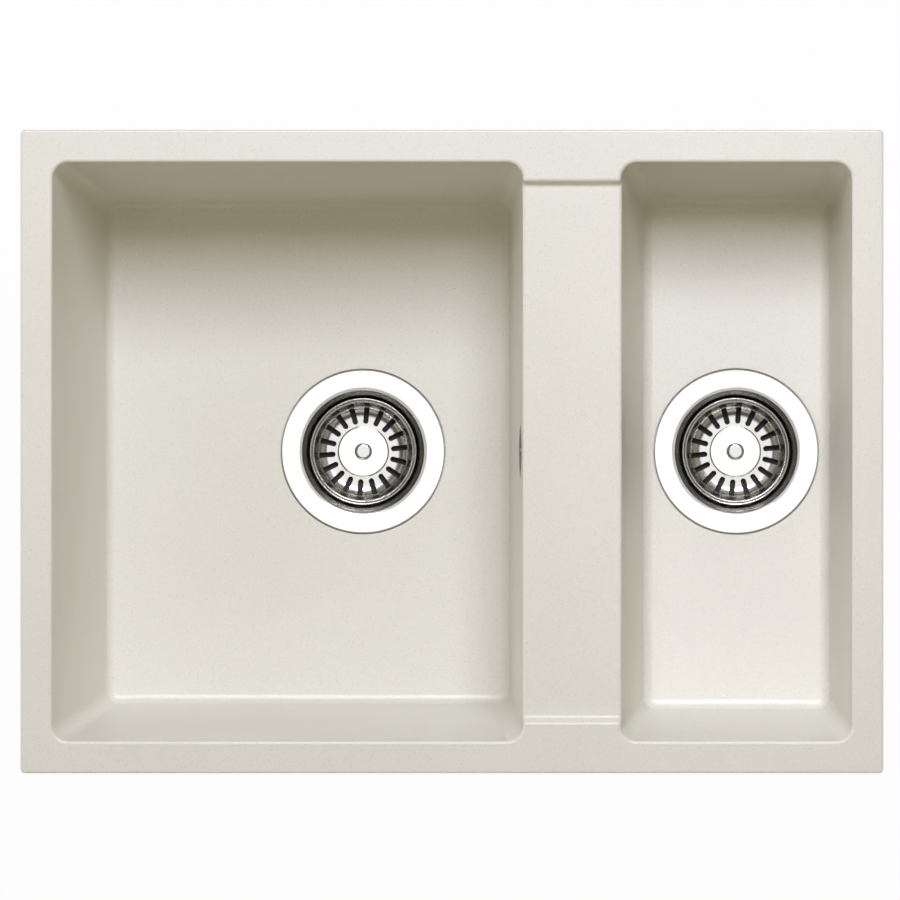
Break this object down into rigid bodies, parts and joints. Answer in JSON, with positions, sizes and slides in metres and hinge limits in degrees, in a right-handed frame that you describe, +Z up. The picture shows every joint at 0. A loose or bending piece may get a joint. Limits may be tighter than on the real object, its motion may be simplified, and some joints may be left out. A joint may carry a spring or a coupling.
{
  "type": "undermount kitchen sink",
  "caption": "Rectangular undermount kitchen sink in speckled cream composite, with a large and a half bowl, a lowered divider, basket strainer wastes, an overflow and swivel clips.",
  "frame": {"origin": "middle of the rim's top face, in the plane of the worktop's underside", "axes": "+Z up out of the bowls, +X along the sink towards the half bowl, +Y towards the back"},
  "size_m": [0.59, 0.44, 0.293],
  "materials": {
    "granite_composite": "matte cast composite with fine speckles",
    "polished_steel": "polished stainless steel",
    "rubber": "moulded rubber",
    "waste_plastic": "moulded polypropylene",
    "brass": "turned brass",
    "zinc_steel": "zinc plated steel"
  },
  "bodies": {
    "sink": {"sink_body": "granite_composite", "main_upper_seal": "rubber", "main_strainer_cup": "polished_steel", "main_lower_seal": "rubber", "main_waste_body": "waste_plastic", "main_outlet_tail": "waste_plastic", "main_clamp_screw": "polished_steel", "main_clamp_nut": "brass", "half_upper_seal": "rubber", "half_strainer_cup": "polished_steel", "half_lower_seal": "rubber", "half_waste_body": "waste_plastic", "half_outlet_tail": "waste_plastic", "half_clamp_screw": "polished_steel", "half_clamp_nut": "brass", "overflow_rose": "polished_steel", "overflow_screw": "polished_steel", "overflow_rear_seal": "rubber", "overflow_elbow": "waste_plastic", "overflow_pipe": "waste_plastic", "overflow_pipe_bands": "zinc_steel", "clip_inserts": "brass", "clip_screws": "zinc_steel", "clip_washers": "zinc_steel"},
    "main_basket": {"main_basket_shell": "polished_steel", "main_basket_cap": "polished_steel", "main_basket_knob": "polished_steel", "main_basket_stem": "polished_steel", "main_basket_plug": "rubber"},
    "half_basket": {"half_basket_shell": "polished_steel", "half_basket_cap": "polished_steel", "half_basket_knob": "polished_steel", "half_basket_stem": "polished_steel", "half_basket_plug": "rubber"},
    "front_left_clip": {"clip_front_left": "zinc_steel"},
    "front_right_clip": {"clip_front_right": "zinc_steel"},
    "back_left_clip": {"clip_back_left": "zinc_steel"},
    "back_right_clip": {"clip_back_right": "zinc_steel"},
    "left_side_clip": {"clip_left_side": "zinc_steel"},
    "right_side_clip": {"clip_right_side": "zinc_steel"}
  },
  "joints": [
    {"name": "main_basket_lift", "type": "slide", "parent": "sink", "child": "main_basket", "axis": [0, 0, 1], "range_m": [0, 0.26]},
    {"name": "half_basket_lift", "type": "slide", "parent": "sink", "child": "half_basket", "axis": [0, 0, 1], "range_m": [0, 0.21]},
    {"name": "front_left_clip_swivel", "type": "hinge", "parent": "sink", "child": "front_left_clip", "pos_m": [-0.18, -0.21375, -0.012], "axis": [0, 0, -1], "range_deg": [0, 90]},
    {"name": "front_right_clip_swivel", "type": "hinge", "parent": "sink", "child": "front_right_clip", "pos_m": [0.18, -0.21375, -0.012], "axis": [0, 0, 1], "range_deg": [0, 90]},
    {"name": "back_left_clip_swivel", "type": "hinge", "parent": "sink", "child": "back_left_clip", "pos_m": [-0.18, 0.21375, -0.012], "axis": [0, 0, 1], "range_deg": [0, 90]},
    {"name": "back_right_clip_swivel", "type": "hinge", "parent": "sink", "child": "back_right_clip", "pos_m": [0.18, 0.21375, -0.012], "axis": [0, 0, -1], "range_deg": [0, 90]},
    {"name": "left_side_clip_swivel", "type": "hinge", "parent": "sink", "child": "left_side_clip", "pos_m": [-0.28875, 0, -0.012], "axis": [0, 0, 1], "range_deg": [0, 90]},
    {"name": "right_side_clip_swivel", "type": "hinge", "parent": "sink", "child": "right_side_clip", "pos_m": [0.28875, 0, -0.012], "axis": [0, 0, -1], "range_deg": [0, 90]}
  ]
}
